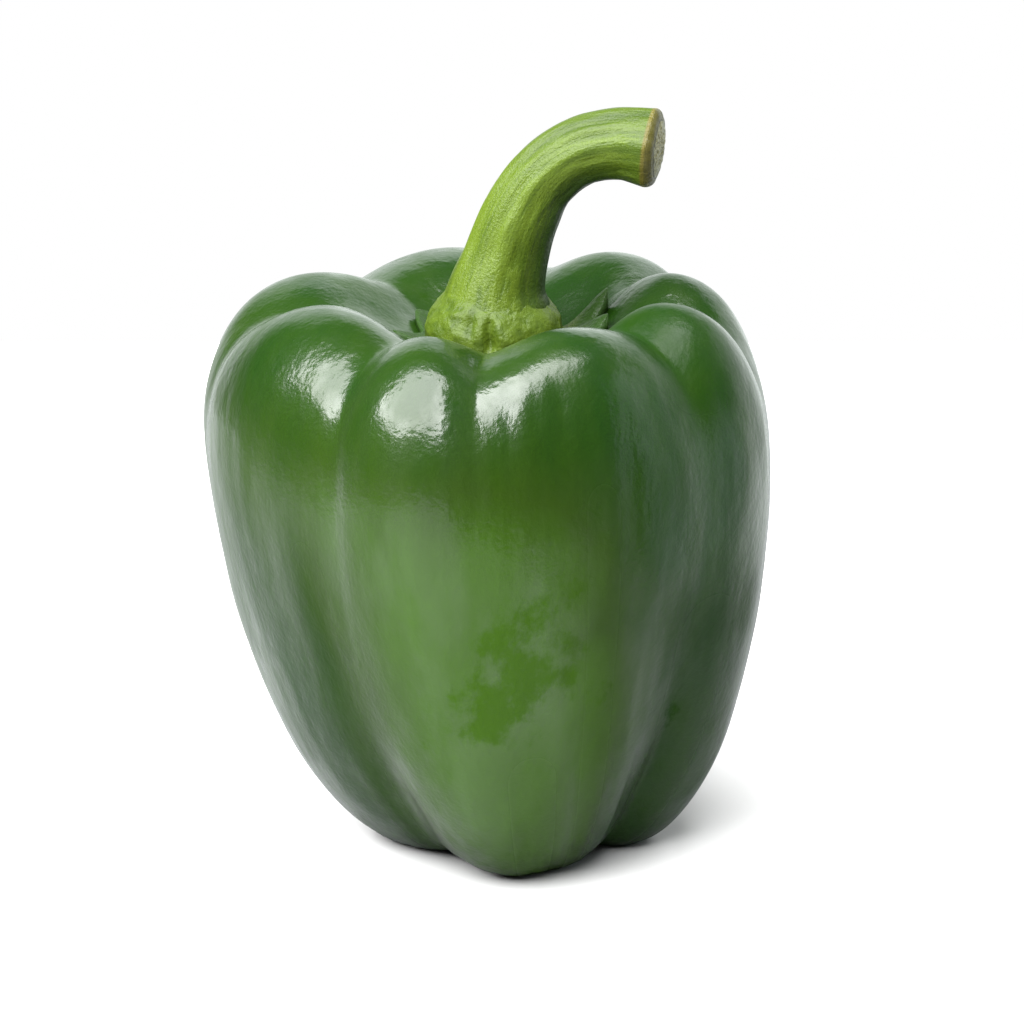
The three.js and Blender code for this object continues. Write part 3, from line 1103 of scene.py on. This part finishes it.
@dataclass
class Stem:
    """The stem: round sections along a line that rises, bends to the right and ends in a flared cut."""

    fruit: Fruit
    # Stations from the seat to the cut: x, y, z, radius.
    stations: tuple[tuple[float, float, float, float], ...] = (
        (-1.7, 0, 89.6, 9.2),
        (-1.2, 0, 92.4, 8.1),
        (0.3, 0, 98, 6.8),
        (2.6, 0, 104.8, 6.2),
        (6.3, 0, 111.1, 5.6),
        (12.0, -0.3, 115.5, 5.5),
        (18.0, -1, 116.9, 5.7),
        (24.6, -2.4, 116.4, 6.6),
    )
    columns: int = 192
    rows: int = 200
    rim_rows: int = 16
    rim_rounding: float = 1.7
    face_rows: int = 24
    face_bulge: float = 0.7
    # The share of the length over which the sections turn from level to square with the line.
    level_seat: float = 0.15
    ribs: tuple[Ribs, ...] = (Ribs(5, 0.16, 0.6), Ribs(11, 0.08, 2.0))
    fibres: Relief = Relief((40, 12), 0.1, 41)
    pith: Relief = Relief((36, 8), 0.1, 42)
    # Painted shade: the underside is darkened by the way it faces and over its levels; the top is darkened
    # too, by a share and over levels.
    under_way: tuple[float, float, float] = (0.7, 0.25, -0.66)
    under_levels: tuple[float, float] = (-0.25, 0.95)
    top_share: float = 0.4
    top_levels: tuple[float, float] = (0.2, 1.0)
    # Where the cut's ring comes in, in roundings before the end, and how far in the face is whole.
    ring_from: float = 1.4
    ring_whole: float = 0.5
    face_whole: float = 0.2

    def sections(self, centre: Array, at: Array, length: float) -> tuple[Array, Array]:
        """The way each section faces, level at the seat and then along the line, and its spokes.

        Args:
            centre: the sections' middles in millimetres.
            at: their distances along the line.
            length: the line's whole length.

        Returns:
            Unit tangents of shape (rows, 3), and unit spokes of shape (rows, columns, 3).
        """
        level = smooth(at / length, 0.0, self.level_seat)[:, None]
        tangent = np.gradient(centre, at, axis=0) * level + np.array([0.0, 0.0, 1.0]) * (1.0 - level)
        tangent /= np.linalg.norm(tangent, axis=1, keepdims=True)
        side = np.array([0.0, -1.0, 0.0]) - tangent * -tangent[:, 1:2]
        side /= np.linalg.norm(side, axis=1, keepdims=True)
        other = np.cross(tangent, side)
        angle = self.angles()[None, :, None]
        return tangent, side[:, None] * np.cos(angle) + other[:, None] * np.sin(angle)

    def angles(self) -> Array:
        """The columns' angles around a section, in radians."""
        return np.arange(self.columns) * 2.0 * np.pi / self.columns

    def painted_shade(self, spoke: Array) -> Array:
        """Painted shade by the way the stem faces: whole on the underside and a share of it on top."""
        under = smooth(spoke @ np.array(self.under_way), *self.under_levels)
        return np.maximum(under, self.top_share * smooth(spoke[..., 2], *self.top_levels))

    def build(self) -> bpy.types.Object:
        """Builds the stem: sections square to its line, then the rounded rim and the face of the cut."""
        stations = np.array(self.stations, float)
        steps = np.linalg.norm(np.diff(stations[:, :3], axis=0), axis=1)
        knots = np.concatenate([[0.0], np.cumsum(steps)])
        length = knots[-1]
        rim_start = length - self.rim_rounding
        rim = np.sin(np.linspace(0.0, np.pi / 2.0, self.rim_rows))[1:] * self.rim_rounding
        at = np.concatenate([np.linspace(0.0, rim_start, self.rows), rim_start + rim])
        curve = cubic_spline(knots, stations, at)
        centre, radius = curve[:, :3], curve[:, 3]
        tangent, spoke = self.sections(centre, at, length)
        angle = self.angles()
        turn = angle / (2.0 * np.pi)
        relief = self.fibres.rise(turn, at[:, None] / length) + sum(ribs.rise(angle) for ribs in self.ribs)
        over = np.clip((at - length) / self.rim_rounding + 1.0, 0.0, 1.0)
        round_off = self.rim_rounding * (1.0 - np.sqrt(1.0 - over**2))
        reach = (radius - round_off)[:, None] + relief
        body = centre[:, None] + spoke * reach[..., None]
        share = np.linspace(1.0, 0.0, self.face_rows + 1)[1:-1, None]
        face_reach = reach[-1] * share
        sink = self.pith.rise(turn, share) - self.face_bulge * (1.0 - share**2)
        face = centre[-1] + spoke[-1] * face_reach[..., None] - tangent[-1] * sink[..., None]
        rings, seat, tip = np.concatenate([body, face]), centre[0], face[-1].mean(0)
        rings, seat, tip = ((points - self.fruit.centre) * MM for points in (rings, seat, tip))
        piece = closed_mesh("stem_fibre", rings, seat, tip)
        ring_span = length - np.array([self.ring_from, self.ring_whole]) * self.rim_rounding
        ring = 0.5 * smooth(at, *ring_span)
        disc = 0.5 + 0.5 * smooth(1.0 - share[:, 0], 0.0, self.face_whole)
        along = np.concatenate([at, length + (1.0 - share[:, 0]) * radius[-1]])
        around = np.concatenate([reach, face_reach])
        flat = np.zeros(self.columns)
        marks = {
            # The under attribute is painted shade, with none on the cut face.
            "under": np.concatenate([self.painted_shade(spoke), np.zeros(face.shape[:2])]),
            "cut": np.concatenate([ring, disc])[:, None] + flat,
            "along": (along[:, None] + flat) * MM,
            "around_x": around * np.cos(angle) * MM,
            "around_y": around * np.sin(angle) * MM,
        }
        for name, values in marks.items():
            store(piece, name, with_poles(values))
        piece.data.materials.append(StemFinish().material())
        return piece


# ---------------------------------------------------------------- the studio


@dataclass(frozen=True)
class Softbox:
    """A level, rectangular soft light: its left and right, front and back edges, height and brightness.

    Only a light that is in the gloss is mirrored by the skin; the others fill shadows.
    """

    name: str
    sides: tuple[float, float]
    ends: tuple[float, float]
    height: float
    radiance: float
    in_gloss: bool

    def hang(self) -> None:
        """Makes the lamp and hangs it, facing down."""
        data = bpy.data.lights.new(self.name, "AREA")
        data.shape = "RECTANGLE"
        data.size = self.sides[1] - self.sides[0]
        data.size_y = self.ends[1] - self.ends[0]
        data.energy = self.radiance * np.pi * data.size * data.size_y
        lamp = bpy.data.objects.new(self.name, data)
        lamp.location = (sum(self.sides) / 2.0, sum(self.ends) / 2.0, self.height)
        lamp.visible_glossy = self.in_gloss
        bpy.context.scene.collection.objects.link(lamp)


@dataclass
class Studio:
    """A white table in a dim studio with a large soft light over the left front, two fills and the camera."""

    # The table top: left, right, front and back edges, and where its gloss fades out on the left.
    table_sides: tuple[float, float] = (-0.6, 0.13)
    table_ends: tuple[float, float] = (-0.8, 0.32)
    gloss_left: tuple[float, float] = (-0.36, -0.2)
    table_shade: Colour = (0.56, 0.56, 0.56, 1.0)
    table_gloss: Colour = (0.2, 0.21, 0.21, 1.0)
    table_dim: Colour = (0.05, 0.05, 0.05, 1.0)
    lights: tuple[Softbox, ...] = (
        Softbox("softbox", (-2.9, 0.45), (-1.75, 0.1), 1.2, 13.0, True),
        Softbox("fill_left", (-1.5, -0.7), (0.2, 1.0), 0.8, 16.0, False),
        Softbox("fill_right", (0.5, 1.2), (0.3, 1.1), 0.9, 6.0, False),
    )
    target: tuple[float, float, float] = (0.0043, -0.0015, 0.0553)
    distance: float = 1.0
    elevation: float = 16.2
    lens: float = 216.2
    film_width: float = 36.0
    nearest: float = 0.01
    # The pale walls: the azimuths over which the right and the left one come in, from the front, the left
    # one's strength, the rises of their foot and top, and their tint from the front to the back.
    right_wall: tuple[float, float] = (64.0, 72.0)
    left_wall: tuple[float, float] = (138.0, 166.0)
    left_wall_strength: float = 0.75
    wall_foot: tuple[float, float] = (-0.6, -0.4)
    wall_top: tuple[float, float] = (0.55, 0.75)
    tint_span: tuple[float, float] = (-0.2, 0.6)
    front_tint: Colour = (0.66, 0.78, 0.78, 1.0)
    back_tint: Colour = (1.1, 1.18, 1.14, 1.0)
    dim: Colour = (0.1, 0.1, 0.1, 1.0)
    backdrop: Colour = (1.0, 1.0, 1.0, 1.0)

    def table(self) -> bpy.types.Object:
        """The pale table top, which takes the shadow and looks darker in the gloss of the skin."""
        left, right = self.table_sides
        front, back = self.table_ends
        verts = [(left, front, 0.0), (right, front, 0.0), (right, back, 0.0), (left, back, 0.0)]
        mesh = bpy.data.meshes.new("table_top")
        mesh.from_pydata(verts, [], [(0, 1, 2, 3)])
        piece = bpy.data.objects.new("table_top", mesh)
        bpy.context.scene.collection.objects.link(piece)
        material, shader = new_material("table_white")
        split = shader.node("SeparateXYZ")
        shader.feed(split.inputs[0], shader.node("TexCoord").outputs["Object"])
        near = shader.ramp(split.outputs["X"], *self.gloss_left)
        gloss = shader.mix(near, self.table_dim, self.table_gloss)
        gloss_ray = shader.node("LightPath").outputs["Is Glossy Ray"]
        made = shader.principled(Base_Color=shader.mix(gloss_ray, self.table_shade, gloss))
        made.inputs["Roughness"].default_value = 1.0
        made.inputs["Specular IOR Level"].default_value = 0.0
        piece.data.materials.append(material)
        return piece

    def surroundings(self) -> None:
        """The world: white where it is looked at, and a dim studio with pale walls for light and gloss."""
        world = bpy.data.worlds.new("studio")
        world.use_nodes = True
        shader = Shader(world.node_tree)
        split = shader.node("SeparateXYZ")
        shader.feed(split.inputs[0], shader.node("TexCoord").outputs["Generated"])
        x, y, z = split.outputs
        azimuth = shader.math("ARCTAN2", x, shader.times(y, -1.0))
        right = shader.ramp(azimuth, *np.radians(self.right_wall))
        left = shader.ramp(shader.times(azimuth, -1.0), *np.radians(self.left_wall))
        around = shader.math("MAXIMUM", right, shader.times(left, self.left_wall_strength))
        below_top = shader.less(1.0, shader.ramp(z, *self.wall_top))
        wall = shader.times(around, shader.times(below_top, shader.ramp(z, *self.wall_foot)))
        tint = shader.mix(shader.ramp(y, *self.tint_span), self.front_tint, self.back_tint)
        studio = shader.mix(wall, self.dim, tint)
        seen = shader.mix(shader.node("LightPath").outputs["Is Camera Ray"], studio, self.backdrop)
        background = shader.node("Background")
        shader.feed(background.inputs["Color"], seen)
        output = shader.node("OutputWorld")
        shader.feed(output.inputs["Surface"], background.outputs[0])
        bpy.context.scene.world = world

    def camera(self) -> None:
        """The camera, in front and a little above, aimed at the middle of the pepper."""
        data = bpy.data.cameras.new("camera")
        data.lens = self.lens
        data.sensor_width = self.film_width
        data.clip_start = self.nearest
        rig = bpy.data.objects.new("camera", data)
        tilt = np.radians(self.elevation)
        target = Vector(self.target)
        rig.location = target + Vector((0.0, -np.cos(tilt), np.sin(tilt))) * self.distance
        rig.rotation_euler = (np.pi / 2.0 - tilt, 0.0, 0.0)
        bpy.context.scene.collection.objects.link(rig)
        bpy.context.scene.camera = rig

    def build(self) -> None:
        """Sets up the table, the surroundings, the lights, the camera and the plain view transform."""
        self.table()
        self.surroundings()
        for light in self.lights:
            light.hang()
        self.camera()
        bpy.context.scene.view_settings.view_transform = "Standard"


# ---------------------------------------------------------------- the whole


def dress(piece: bpy.types.Object, node: Node) -> None:
    """Makes a piece stand for its CAD node and move with the part.

    Args:
        piece: the finished piece.
        node: the CAD node that it stands for.
    """
    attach(piece, "root")
    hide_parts(node.value)
    LOG.info("%s stands for %s: %d faces", piece.name, node.value, len(piece.data.polygons))


def main() -> None:
    """Loads the frame, builds the studio and the pieces in order."""
    logging.basicConfig(level=logging.INFO, format="%(name)s: %(message)s")
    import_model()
    Studio().build()
    fruit = Fruit()
    fruit.settle()
    dress(fruit.skin(), Node.FRUIT)
    dress(Calyx(fruit).build(), Node.CALYX)
    dress(Stem(fruit).build(), Node.STEM)
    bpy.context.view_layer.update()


if __name__ == "__main__":
    main()
